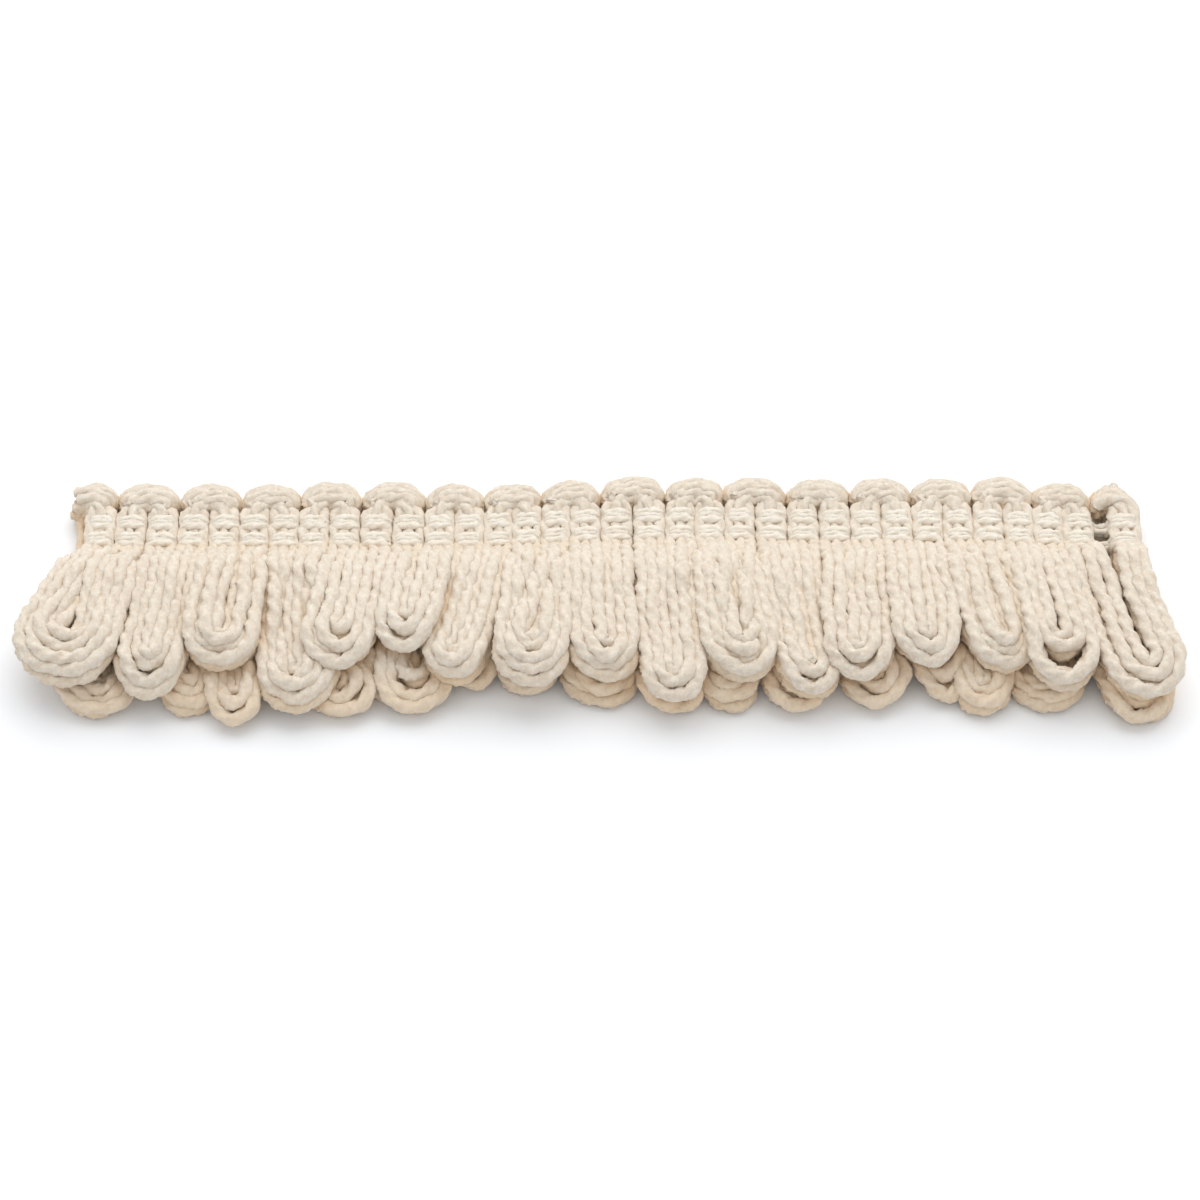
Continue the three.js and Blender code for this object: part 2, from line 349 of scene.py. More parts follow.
UPPER_SLOTS = (
    Slot(-1, 1), Slot(0, 1), Slot(1, 1),
    Slot(1, 0.3, 0.74), Slot(-0.6, 0.4, 0.55, Ply.MIDDLE), Slot(0.2, 0.4, 0.55, Ply.MIDDLE),
    Slot(1, -0.3, 0.72, Ply.MIDDLE), Slot(-0.9, 0.1, 0.64, Ply.MIDDLE), Slot(0, -0.1, 0.55, Ply.MIDDLE),
)
LOWER_SLOTS = (
    Slot(-0.5, -0.4, 0.6), Slot(0.5, -0.4, 0.6), Slot(1, -0.8, 0.68),
    Slot(0, -1, 0.64, Ply.MIDDLE), Slot(-1, -0.9, 0.64, Ply.MIDDLE), Slot(0.6, -1, 0.64, Ply.MIDDLE),
    Slot(0, -0.5, 0.55, Ply.MIDDLE),
)


@dataclass
class Yarn:
    """One yarn as a chain of points, each with a radius and a hold on its place from 0, free, to 1."""

    points: Array
    radius: Array
    hold: Array
    tone: float
    ply: Ply
    cover: Array  # how much it lies under other yarns at each point, which sets its painted shade


def wander(along: Array, rng: np.random.Generator, size: float, wave: float) -> Array:
    """Make a smooth random drift in three directions.

    Args:
        along: Distances along the yarn.
        rng: Source of the drift.
        size: How far it strays.
        wave: Length of its main wave.

    Returns:
        Offsets, one row for each distance.
    """
    drift = np.zeros((len(along), 3))
    for part, share in DRIFT_WAVES:
        for axis in range(3):
            turn = along / (wave * part * rng.uniform(*DRIFT_RANGE)) + rng.uniform(0, 1)
            drift[:, axis] += share * size * np.sin(2 * math.pi * turn)
    return drift


def evenly(points: Array, step: float, *others: Array) -> list[Array]:
    """Space a chain of points evenly on a smooth curve.

    Args:
        points: The chain.
        step: The new spacing.
        others: Values that go with each point.

    Returns:
        The new points, then each of the others at them.
    """
    gaps = np.linalg.norm(np.diff(points, axis=0), axis=1)
    along = np.concatenate([[0.0], np.cumsum(gaps)])
    count = max(3, int(round(along[-1] / step)) + 1)
    at = np.linspace(0, along[-1], count)
    index = np.clip(np.searchsorted(along, at, side="right") - 1, 0, len(points) - 2)
    share = ((at - along[index]) / np.maximum(gaps[index], 1e-9))[:, None]
    before = points[np.maximum(index - 1, 0)]
    here, there = points[index], points[index + 1]
    after = points[np.minimum(index + 2, len(points) - 1)]
    curve = 0.5 * (
        2 * here
        + (there - before) * share
        + (2 * before - 5 * here + 4 * there - after) * share**2
        + (3 * here - before - 3 * there + after) * share**3
    )
    return [curve] + [np.interp(at, along, other) for other in others]


@dataclass(frozen=True)
class Seat:
    """The place that one yarn takes in one loop."""

    nest: float  # across a leg, 0 at its inner edge and 1 at its outer one
    row: float  # 0 in the middle row, 1 in the top one and -1 in the lowest one
    slack: float  # how much further than the others it reaches


@dataclass
class LoopLayer:
    """One layer of loops with the part of the bundle that makes it, through the heading and the arches."""

    node: str
    lies: Sequence[LoopLie]
    slots: Sequence[Slot]
    base: float  # height of the layer's underside at its full part
    row_step: float
    seed: int
    yarn_radius: float = 0.86
    row_sizes: tuple[int, int] = (3, 5)  # fewest and most yarns side by side in a leg's top row
    tip_swing: float = 1.4
    slack: float = 0.32
    slack_limits: tuple[float, float] = (-0.8, 0.6)
    inner_slack: float = 0.4  # how far the inner yarns stay behind, at most
    loose_from: float = 0.25  # place across a leg outside which its yarns may be loose
    loose_ease: float = 0.7
    ragged: float = 0.26
    ragged_wave: float = 9.0
    bound_share: float = 0.3  # how much of that a yarn keeps in the heading
    puff: float = 0.12  # how much thicker a yarn is between the stitches than under them, as a share
    slub: float = 0.06  # how much a yarn's thickness varies, as a share
    slub_waves: tuple[float, float] = (4.0, 15.0)
    crowding: float = 4.5  # how far the right leg of a skewed loop keeps to the left, for its whole skew
    tilt: float = 0.4  # how far the two sides of a tip differ in height
    fit: float = 1.16  # room that a yarn takes across a leg
    tuck: float = 0.5  # how far the lower rows stay behind the top one at a tip
    droop: float = 1.0  # how far the outer side of a tip sinks
    stray: float = 0.07  # how far a yarn strays from its seat
    spread: float = 0.3  # how much wider a yarn lies for each millimetre that it reaches too far
    parting: float = 0.16  # share of a leg, at its tip, along which the inner yarns part
    held: tuple[float, float] = (0.45, 0.02)  # how firmly a yarn keeps its place in the heading and in a loop
    free_start: float = 0.5  # where a yarn starts to come free of the heading
    free_ease: float = 5.0
    bound_ease: float = 2.5  # how far in front of the heading a yarn starts to narrow
    arch_relief: float = 0.45  # share by which it is less bound in an arch
    arch_relief_start: float = 4.6
    arch_relief_ease: float = 1.5
    row_narrow: float = 0.3  # how much narrower a loop's upper and lower rows are than its middle one
    side_flat: float = 0.35  # how much nearer to one another its rows lie at its sides
    spread_from: float = 1.0  # reach beyond the others from which a yarn lies wider
    row_droop: float = 0.4  # how much more the top row sinks at a tip than the middle one

    def seats(self, k: int) -> list[Seat]:
        """Share a loop's yarns out over three rows, by how many fit side by side across its leg.

        Args:
            k: The loop.

        Returns:
            The seat of each yarn.
        """
        lie, total = self.lies[k], len(self.slots)
        fewest, most = self.row_sizes
        top = int(np.clip(round((lie.width - lie.eye) / 2 / self.fit), fewest, most))
        middle = min(total - top, top if total - top <= top else fewest)
        rng = np.random.default_rng(self.seed * Stream.SEATS + k)
        found: dict[int, Seat] = {}
        at = 0
        for row, count in ((1, top), (0, middle), (-1, total - top - middle)):
            across = sorted(range(at, at + count), key=lambda index: self.slots[index].column)
            inset = 0.5 / top if row == 0 and count == top else 0.0
            for rank, index in enumerate(across):
                nest = mix(inset, 1 - inset, rank / (count - 1)) if count > 1 else 0.5
                slack = float(np.clip(rng.normal(0, self.slack), *self.slack_limits))
                slack -= self.inner_slack * (1 - nest) * rng.uniform(0, 1)
                loose = lie.loose * float(smooth((nest - self.loose_from) / self.loose_ease))
                found[index] = Seat(
                    nest=float(np.clip(nest + rng.normal(0, self.stray), 0, 1)),
                    row=float(row + rng.normal(0, 2 * self.stray)),
                    slack=slack + self.tuck * (row - 0.5 * row * row) + loose,
                )
            at += count
        return [found[index] for index in range(total)]

    def leg(self, slot: Slot, seat: Seat, k: int, hand: int, count: int = 16) -> Array:
        """Run one yarn down a leg from the heading's edge to the start of the turn at the loop's tip.

        Args:
            slot: The yarn's place in the heading.
            seat: Its place in the loop.
            k: The loop.
            hand: -1 for the left leg, 1 for the right.
            count: How many points the leg has.

        Returns:
            Points from the root towards the tip, without the tip itself.
        """
        lie = self.lies[k]
        centre, out, right = self.tip(k)
        centre = centre + out * seat.slack
        radius = (lie.width + lie.eye) / 4 * (1 - hand * lie.skew)
        root = np.array([HEADING.leg(k, hand), 0.0])
        bend = np.array([root[0] + lie.splay - max(hand, 0) * lie.skew * self.crowding, centre[1] / 2])
        turn = centre + right * hand * radius
        share = np.linspace(0, 1, count, endpoint=False)[:, None]
        early, late = mix(root, bend, share), mix(bend, turn, share)
        path, along = mix(early, late, share), late - early
        along /= np.linalg.norm(along, axis=1)[:, None]
        outward = hand * np.stack([-along[:, 1], along[:, 0]], axis=1)
        full = smooth(-path[:, 1] / lie.swell)
        start, start_height = HEADING.section(slot.column, slot.level, np.zeros(count))
        end, end_height = self.place(seat, k)
        end *= 1 - hand * lie.skew
        end_height += hand * self.tilted(k)
        parted = lie.slit * (1 - seat.nest) * np.exp(-(((1 - share[:, 0]) / self.parting) ** 2))
        path = path + outward * (mix(start, end, full) + parted)[:, None]
        height = mix(start_height, end_height, full) + lie.rise * smooth(share[:, 0])
        return np.column_stack([path, height])

    def tip(self, k: int) -> tuple[Array, Array, Array]:
        """Find where a loop turns.

        Args:
            k: The loop.

        Returns:
            The centre of its turn, the direction the loop points in, and the direction to its right.
        """
        lie = self.lies[k]
        place = (k - MIDDLE_LOOP) * HEADING.loop_pitch + lie.lean
        centre = np.array([place, lie.width / 2 - lie.reach])
        swing = self.tip_swing * math.atan2(place - HEADING.notch(k) - lie.splay, -centre[1])
        out = np.array([math.sin(swing), -math.cos(swing)])
        right = np.array([-out[1], out[0]])
        return centre + right * lie.skew * lie.width / 2, out, right

    def tilted(self, k: int) -> float:
        """Give the height by which loop k's right side lies higher than its middle."""
        return self.tilt * float(np.random.default_rng(self.seed * Stream.TILTS + k).uniform(-1, 1))

    def place(self, seat: Seat, k: int) -> tuple[float, float]:
        """Place a yarn where its loop is full.

        Args:
            seat: Its seat in the loop.
            k: The loop.

        Returns:
            Its offset from the middle of the leg, and its height.
        """
        lie = self.lies[k]
        room = (lie.width - lie.eye) / 2 - self.fit
        across = 2 * seat.nest - 1
        offset = across * math.sqrt(1 - self.row_narrow * min(1.0, abs(seat.row)) ** 2) * room / 2
        offset += self.spread * max(0.0, seat.slack - self.spread_from)
        rows = 1 + seat.row * math.sqrt(1 - self.side_flat * across * across)
        return offset, self.base + self.fit / 2 + rows * self.row_step

    def turn(self, seat: Seat, k: int, count: int = 15) -> Array:
        """Run one yarn round the tip of a loop.

        Args:
            seat: Its seat in the loop.
            k: The loop.
            count: How many points the turn has.

        Returns:
            Points from the left leg to the right one.
        """
        lie = self.lies[k]
        centre, out, right = self.tip(k)
        offset, height = self.place(seat, k)
        angle = np.linspace(0, math.pi, count)[:, None]
        around = -right * np.cos(angle) + out * np.sin(angle)
        radius = (lie.width + lie.eye) / 4 + offset + lie.slit * (1 - seat.nest) * np.cos(angle) ** 2
        radius = radius * (1 + lie.skew * np.cos(angle))
        path = centre + out * seat.slack + around * radius
        height = height - self.tilted(k) * np.cos(angle[:, 0])
        beyond = (np.sin(angle[:, 0]) * radius[:, 0] / (lie.width / 2)) ** 2
        sunk = lie.plump * self.droop * (1 + self.row_droop * seat.row) * beyond
        return np.column_stack([path, height + lie.rise - sunk])

    def rise(self, slot: Slot, k: int, hand: int) -> Array:
        """Run one yarn straight up a leg of the heading.

        Args:
            slot: The yarn's place in the heading.
            k: The loop.
            hand: -1 for the left leg, 1 for the right.

        Returns:
            Points from the front edge to the start of the arch.
        """
        y = np.linspace(HEADING.leg_start, HEADING.turn_y, 9)
        across, height = HEADING.section(slot.column, slot.level, y)
        return np.column_stack([HEADING.leg(k, hand) + hand * across, y, height])

    def arch(self, slot: Slot, k: int) -> Array:
        """Run one yarn over the arch between loops k - 1 and k.

        The bundle rolls as it turns: its outer side comes up on top, and what was on top goes to the inside.

        Args:
            slot: The yarn's place in the heading.
            k: The loop to the right of the arch.

        Returns:
            Points from left to right.
        """
        left, right = HEADING.leg(k - 1, 1), HEADING.leg(k, -1)
        middle_radius = (right - left) / 2
        angle = np.linspace(0, math.pi, 15)[1:-1]
        out, height = HEADING.rolled(slot.column, slot.level, np.sin(angle))
        radius = middle_radius + np.maximum(out, HEADING.arch_least - middle_radius)
        x, y = HEADING.arched((left + right) / 2, radius, HEADING.arch_lifts[k], angle)
        return np.column_stack([x, y, height])

    def left_end(self, slot: Slot, rng: np.random.Generator) -> Array:
        """Run one yarn over the cut arch at the left end.

        Args:
            slot: The yarn's place in the heading.
            rng: Source of where it is cut.

        Returns:
            Points from its cut to the first leg.
        """
        middle = HEADING.leg(0, -1) - HEADING.leg_half
        angle = np.linspace(math.pi / 2, math.pi, 8)[:-1]
        out, height = HEADING.rolled(slot.column, slot.level, np.sin(angle))
        radius, lift = HEADING.leg_half + out, HEADING.arch_lifts[0]
        path = np.column_stack([*HEADING.arched(middle, radius, lift, angle), height])
        if slot.level > CUTS.foot_level:
            share = np.linspace(0, 1, 5)[:-1]
            cut = middle - CUTS.left_reach + CUTS.left_fan * slot.column + rng.uniform(*CUTS.left_fray)
            away = mix(cut, middle, share)
            level = path[0, 1] - CUTS.left_drop * (1 - share) * (1 + rng.uniform(-1, 1))
            sunk = path[0, 2] - CUTS.left_sink * (1 - share)
            return np.vstack([np.column_stack([away, level, sunk]), path])
        down = np.sin(np.linspace(0, math.pi / 2, 6)[:-1])
        low = CUTS.foot_height + CUTS.foot_step * (slot.level + 1)
        foot_x = middle - CUTS.foot_shift - CUTS.foot_fan * slot.column
        bend = np.column_stack([
            mix(foot_x, middle, down),
            HEADING.turn_y + (radius[0] + lift) * down,
            mix(low, path[0, 2], smooth(down)),
        ])
        foot_y = np.linspace(rng.uniform(*CUTS.foot_fray), HEADING.turn_y - CUTS.foot_top, 7)
        foot = np.column_stack([np.linspace(foot_x + CUTS.foot_slant, foot_x, 7), foot_y, np.full(7, low)])
        return np.vstack([foot, bend, path])

    def right_end(self, slot: Slot, rng: np.random.Generator) -> Array:
        """Run one yarn over the loose arch at the right end.

        Args:
            slot: The yarn's place in the heading.
            rng: Source of where it is cut.

        Returns:
            Points from the last leg to its cut.
        """
        leg = HEADING.leg(LAST_LOOP, 1)
        last = rng.uniform(*CUTS.right_turn)
        angle = np.linspace(0, last, 11)[1:]
        out, height = HEADING.rolled(slot.column, slot.level, CUTS.right_roll * np.sin(angle))
        radius = CUTS.right_radius + np.maximum(out, -CUTS.right_inner)
        narrow = 1 - CUTS.right_narrow * smooth(angle / CUTS.right_narrow_by)
        x = leg - CUTS.right_radius + radius * np.cos(angle) * narrow
        y = HEADING.turn_y + (radius + HEADING.arch_lifts[LAST_LOOP + 1]) * np.sin(angle)
        if slot.level > CUTS.tuft_level and slot.column < CUTS.tuft_column:
            share = smooth(angle / last)
            side = rng.uniform(-CUTS.tuft_side, CUTS.tuft_side)
            x = mix(x, leg - CUTS.tuft_shift + CUTS.tuft_fan * slot.column + side, share)
            y = mix(y, HEADING.turn_y + CUTS.tuft_reach + rng.uniform(*CUTS.tuft_fray), share)
        return np.column_stack([x, y, height])

    def run(self, index: int, seats: Sequence[Sequence[Seat]]) -> Yarn:
        """Run one yarn from the left cut end to the right one.

        Args:
            index: The yarn's number in the layer.
            seats: The seats of all the yarns in each loop.

        Returns:
            The yarn, before it settles against the others.
        """
        rng = np.random.default_rng(self.seed * Stream.YARNS + index)
        slot = self.slots[index]
        parts = [self.left_end(slot, rng)]
        for k in range(LAST_LOOP + 1):
            seat = seats[k][index]
            parts += [self.rise(slot, k, -1)[::-1], self.leg(slot, seat, k, -1), self.turn(seat, k)]
            parts += [self.leg(slot, seat, k, 1)[::-1], self.rise(slot, k, 1)]
            parts.append(self.arch(slot, k + 1) if k < LAST_LOOP else self.right_end(slot, rng))
        points = evenly(np.vstack(parts), POINT_STEP)[0]
        along = np.arange(len(points)) * POINT_STEP
        free = smooth((self.free_start - points[:, 1]) / self.free_ease)
        stray = wander(along, rng, self.ragged, self.ragged_wave)
        points += stray * mix(self.bound_share, 1.0, free)[:, None]
        y = points[:, 1]
        relief = self.arch_relief * smooth((y - self.arch_relief_start) / self.arch_relief_ease)
        bound = smooth((y + self.bound_ease) / self.bound_ease) * (1 - relief)
        puffed = 1 + self.puff * bound * (1 - HEADING.nipped(y))
        radius = self.yarn_radius * mix(1.0, slot.pinch, bound) * puffed
        short, long = (wander(along, rng, 1.0, wave) for wave in self.slub_waves)
        radius *= 1 + self.slub * (short + long)[:, 0]
        hold, tone = mix(*self.held, free), float(rng.uniform(0, 1))
        return Yarn(HEADING.bowed(points), radius, hold, tone, slot.ply, np.zeros(len(points)))

    def yarns(self) -> list[Yarn]:
        """Run every yarn of the layer."""
        seats = [self.seats(k) for k in range(len(self.lies))]
        return [self.run(index, seats) for index in range(len(self.slots))]


# -------------------------------------------------------------------------------- settling the yarns


@dataclass
class Settler:
    """Lets the yarns push one another aside, sink and straighten a little, until they lie together."""

    yarns: list[Yarn]
    steps: int = 90
    firm: float = 0.5  # share of an overlap that one step removes
    squash: float = 0.665  # how near two yarns may come, as a share of their radii
    bound_squash: float = 0.9  # how much nearer they may come in the heading
    bound_hold: float = 0.3  # hold on its place from which a point counts as in the heading
    longest: float = 0.25  # push in one step
    fall: float = 0.010
    bend: float = 0.14
    shape: float = 0.85  # share of its first curve that a yarn keeps as it straightens
    stretch: float = 0.4  # share of a link's stretch that one step takes back
    pull: tuple[float, float] = (0.02, 0.5)  # back to the first place: for every point, and for its hold
    stand: float = 1.07  # how high the lowest yarns' middles stay over the floor, as a share of their radii
    smoothing: int = 2  # how often the settled chains are evened out
    evening: float = 0.4
    rebuild: int = 9
    touch_reach: float = 1.7
    shade_reach: float = 3.4  # how far over a yarn others still shade it
    shade_start: float = 2.0
    shade_ease: float = 9.0
    low_tone: float = 0.6  # how much the lower loops count as shaded everywhere
    low_height: float = 4.4  # under this height
    low_height_ease: float = 2.4
    low_front: float = 1.0  # and in front of this place
    low_front_ease: float = 3.0
    skip: int = 4  # neighbours along the same yarn that don't push one another

    def settle(self) -> None:
        """Move the yarns' points, all in fixed steps."""
        points = np.vstack([y.points for y in self.yarns])
        full = np.concatenate([y.radius for y in self.yarns])
        hold = np.concatenate([y.hold for y in self.yarns])[:, None]
        owner = np.concatenate([np.full(len(y.points), i) for i, y in enumerate(self.yarns)])
        radius, floor = full * self.squash, full * self.stand
        radius = np.where(hold[:, 0] > self.bound_hold, radius * self.bound_squash, radius)
        start = points.copy()
        linked = np.flatnonzero(owner[:-1] == owner[1:])
        length = np.linalg.norm(points[linked + 1] - points[linked], axis=1)
        inner = linked[np.isin(linked - 1, linked)]
        curve = self.shape * self.slump(points, inner)
        everywhere, held = self.pull
        for step in range(self.steps):
            if step % self.rebuild == 0:
                first, second = self.near(points, owner, self.touch_reach)
            shift = self.push(points, radius, first, second)
            shift[:, 2] -= self.fall
            points = points + shift * (1 - hold)
            points[inner] += self.bend * (self.slump(points, inner) - curve)
            for offset in (0, 1):
                link = linked[offset::2]
                line = points[link + 1] - points[link]
                now = np.linalg.norm(line, axis=1)
                fix = (self.stretch * (now - length[offset::2]) / np.maximum(now, 1e-9))[:, None] * line
                points[link] += fix
                points[link + 1] -= fix
            points = mix(points, start, everywhere + held * hold)
            points[:, 2] = np.maximum(points[:, 2], floor)
        for _ in range(self.smoothing):
            points[inner] += self.evening * self.slump(points, inner)
        points[:, 2] = np.maximum(points[:, 2], floor)
        covered = self.cover(points, owner)
        at = 0
        for yarn in self.yarns:
            to = at + len(yarn.points)
            yarn.points, yarn.cover = points[at:to], covered[at:to]
            at = to

    @staticmethod
    def slump(points: Array, inner: Array) -> Array:
        """Give the way from each inner point to the middle between its two neighbours."""
        return 0.5 * (points[inner - 1] + points[inner + 1]) - points[inner]

    def push(self, points: Array, radius: Array, first: Array, second: Array) -> Array:
        """Push touching points apart.

        Args:
            points: All points.
            radius: The radius of each.
            first: The first point of each pair that may touch.
            second: The second one.

        Returns:
            How far each point is pushed.
        """
        gap = points[first] - points[second]
        span = np.linalg.norm(gap, axis=1) + 1e-9
        overlap = radius[first] + radius[second] - span
        touch = overlap > 0
        push = (self.firm * overlap[touch] / span[touch])[:, None] * gap[touch] * 0.5
        shift = np.zeros_like(points)
        for axis in range(3):
            shift[:, axis] += np.bincount(first[touch], push[:, axis], len(points))
            shift[:, axis] -= np.bincount(second[touch], push[:, axis], len(points))
        far = np.linalg.norm(shift, axis=1)
        return shift * np.minimum(1.0, self.longest / np.maximum(far, 1e-9))[:, None]

    def cover(self, points: Array, owner: Array) -> Array:
        """Say how much each point lies under other yarns, or low at the front, which sets its painted shade.

        Args:
            points: All points.
            owner: The yarn that each belongs to.

        Returns:
            From 0 in the open to 1 deep inside, for each point.
        """
        first, second = self.near(points, owner, self.shade_reach)
        gap = points[first] - points[second]
        span = np.linalg.norm(gap, axis=1)
        lift = gap[:, 2] / np.maximum(span, 1e-9)
        near = (1 - span / self.shade_reach) ** 0.5
        over = np.bincount(second, np.maximum(lift, 0) * near, len(points))
        over += np.bincount(first, np.maximum(-lift, 0) * near, len(points))
        buried = smooth((over - self.shade_start) / self.shade_ease)
        low = self.low_tone * smooth((self.low_height - points[:, 2]) / self.low_height_ease)
        low *= smooth((self.low_front - points[:, 1]) / self.low_front_ease)
        return 1 - (1 - buried) * (1 - low)

    def near(self, points: Array, owner: Array, reach: float) -> tuple[Array, Array]:
        """Find the pairs of points that may touch.

        Args:
            points: All points.
            owner: The yarn that each belongs to.
            reach: The distance within which pairs are found.

        Returns:
            The first and the second point of each pair.
        """
        cell = np.floor((points - points.min(axis=0)) / reach).astype(np.int64) + 1
        wide, deep = cell[:, 1].max() + 2, cell[:, 2].max() + 2
        key = (cell[:, 0] * wide + cell[:, 1]) * deep + cell[:, 2]
        order = np.argsort(key, kind="stable")
        ranked = key[order]
        here = (0, 0, 0)
        pairs = []
        for way in itertools.product((-1, 0, 1), repeat=3):
            if way < here:
                continue
            wanted = key + (way[0] * wide + way[1]) * deep + way[2]
            low = np.searchsorted(ranked, wanted, side="left")
            many = np.searchsorted(ranked, wanted, side="right") - low
            first = np.repeat(np.arange(len(points)), many)
            within = np.arange(len(first)) - np.repeat(np.cumsum(many) - many, many)
            second = order[np.repeat(low, many) + within]
            if way == here:
                keep = first < second
                first, second = first[keep], second[keep]
            pairs.append((first, second))
        first, second = (np.concatenate(side) for side in zip(*pairs))
        apart = (owner[first] != owner[second]) | (np.abs(first - second) > self.skip)
        close = np.linalg.norm(points[first] - points[second], axis=1) < reach
        return first[apart & close], second[apart & close]


# ------------------------------------------------------------------------------- yarns as real meshes


@dataclass
class MeshBook:
    """Collects plied tubes and writes them as one mesh."""

    name: str
    seed: int
    lump: float = 0.05  # how uneven a yarn's surface is, as a share of its size
    valley: float = 0.79  # a yarn's size between its plies
    crown: float = 1.05  # and at the middle of a ply
    crown_power: float = 0.7  # under 1 for plies with broad crowns
    lump_seed: int = 500  # added to the seed for the lumps
    plies: int = 3
    count: int = 0
    points: list[Array] = field(default_factory=list)
    faces: list[Array] = field(default_factory=list)
    depth: list[Array] = field(default_factory=list)
    tone: list[Array] = field(default_factory=list)
    cover: list[Array] = field(default_factory=list)
    maps: list[Array] = field(default_factory=list)
    ends: list[list[int]] = field(default_factory=list)

    def __post_init__(self) -> None:
        """Start the source of the lumps."""
        self.rng = np.random.default_rng(self.seed + self.lump_seed)

    def tube(
        self,
        path: Array,
        radius: Array,
        ply: Ply,
        pitch: float,
        turn: float,
        tone: Array,
        cover: Array,
        taper: float = 0.5,
    ) -> None:
        """Add one plied yarn as a closed tube.

        Args:
            path: Its middle line.
            radius: Its radius at each point of the line.
            ply: How finely its plies are shaped.
            pitch: The length in which a ply turns once round the yarn.
            turn: Where the plies start, in radians.
            tone: Its tone at each point of the line.
            cover: How much it lies under others at each point.
            taper: The last rings' size at both ends, as a share.
        """
        corners, rings = ply.value
        step = pitch / rings
        line, size, shade, under = evenly(path, step, radius, tone, cover)
        count = len(line)
        along = np.gradient(line, axis=0)
        along /= np.maximum(np.linalg.norm(along, axis=1), 1e-9)[:, None]
        side = np.cross(along, np.array([0.0, 0.0, 1.0]))
        side /= np.maximum(np.linalg.norm(side, axis=1), 1e-6)[:, None]
        up = np.cross(side, along)
        corner = np.arange(corners)
        crest = 0.5 - 0.5 * np.cos(2 * self.plies * math.pi * corner / corners)
        lift = mix(self.valley, self.crown, crest**self.crown_power)
        angle = 2 * math.pi * corner / corners + (turn + 2 * math.pi * np.arange(count) / rings)[:, None]
        closing = np.ones(count)
        closing[[0, -1]] = taper
        lumps = self.rng.normal(0, self.lump, (count, corners))
        lumps = (lumps + np.roll(lumps, 1, 0) + np.roll(lumps, -1, 0) + np.roll(lumps, 1, 1)) / 2
        reach = (size * closing)[:, None] * (lift + lumps)
        ring = (
            line[:, None, :]
            + (np.cos(angle) * reach)[:, :, None] * side[:, None, :]
            + (np.sin(angle) * reach)[:, :, None] * up[:, None, :]
        )
        grid = self.count + np.arange(count * corners).reshape(count, corners)
        here, ahead = grid[:-1], grid[1:]
        quads = np.stack([here, np.roll(here, -1, 1), np.roll(ahead, -1, 1), ahead], axis=-1)
        self.points.append(ring.reshape(-1, 3))
        self.faces.append(quads.reshape(-1, 4))
        self.depth.append(np.tile(crest, count))
        self.tone.append(np.repeat(shade, corners))
        self.cover.append(np.repeat(under, corners))
        around = np.tile(np.arange(corners + 1) / corners, (count, 1)) + (np.arange(count) / rings)[:, None]
        far = np.repeat((np.arange(count) * step)[:, None], corners + 1, axis=1)
        chart = np.stack([far, around], axis=-1)
        spread = np.stack([chart[:-1, :-1], chart[:-1, 1:], chart[1:, 1:], chart[1:, :-1]], axis=2)
        self.maps.append(spread.reshape(-1, 2))
        self.ends += [list(map(int, grid[0])), list(map(int, grid[-1][::-1]))]
        self.count += count * corners

    def write(self) -> bpy.types.Object:
        """Write the tubes as one mesh object in the row frame.

        Returns:
            The object, with the attributes ply, tone and cover and a chart of each yarn's length in
            millimetres and its girth in turns.
        """
        origin_low, origin_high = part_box("heading")
        shift = np.array([(origin_low.x + origin_high.x) / 2, origin_low.y, 0.0])
        points = np.vstack(self.points) * MM + shift
        quads = np.vstack(self.faces)
        mesh = bpy.data.meshes.new(self.name)
        mesh.vertices.add(len(points))
        mesh.vertices.foreach_set("co", points.astype(np.float32).ravel())
        caps = np.array([v for end in self.ends for v in end], dtype=np.int64)
        loops = np.concatenate([quads.ravel(), caps])
        sizes = np.array([4] * len(quads) + [len(end) for end in self.ends])
        mesh.loops.add(len(loops))
        mesh.loops.foreach_set("vertex_index", loops.astype(np.int32))
        mesh.polygons.add(len(sizes))
        mesh.polygons.foreach_set("loop_start", (np.cumsum(sizes) - sizes).astype(np.int32))
        mesh.polygons.foreach_set("use_smooth", np.ones(len(sizes), dtype=bool))
        mesh.update(calc_edges=True)
        for key, parts in (("ply", self.depth), ("tone", self.tone), ("cover", self.cover)):
            layer = mesh.attributes.new(key, "FLOAT", "POINT")
            layer.data.foreach_set("value", np.concatenate(parts).astype(np.float32))
        chart = mesh.uv_layers.new(name="run")
        flat = np.vstack(self.maps + [np.zeros((len(caps), 2))])
        chart.data.foreach_set("uv", flat.astype(np.float32).ravel())
        piece = bpy.data.objects.new(self.name, mesh)
        bpy.context.scene.collection.objects.link(piece)
        return piece


def dress(piece: bpy.types.Object, finish: bpy.types.Material, nodes: Sequence[str]) -> None:
    """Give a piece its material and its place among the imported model's nodes.

    Args:
        piece: The piece.
        finish: Its material.
        nodes: The nodes that it stands for.
    """
    piece.data.materials.append(finish)
    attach(piece, ROOT_BODY)
    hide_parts(*nodes)
    low = [round(min(v[i] for v in piece.bound_box) / MM, 1) for i in range(3)]
    high = [round(max(v[i] for v in piece.bound_box) / MM, 1) for i in range(3)]
    LOG.info("%s: %d faces, %s to %s mm", piece.name, len(piece.data.polygons), low, high)


# ------------------------------------------------------------------------------------- chain stitches


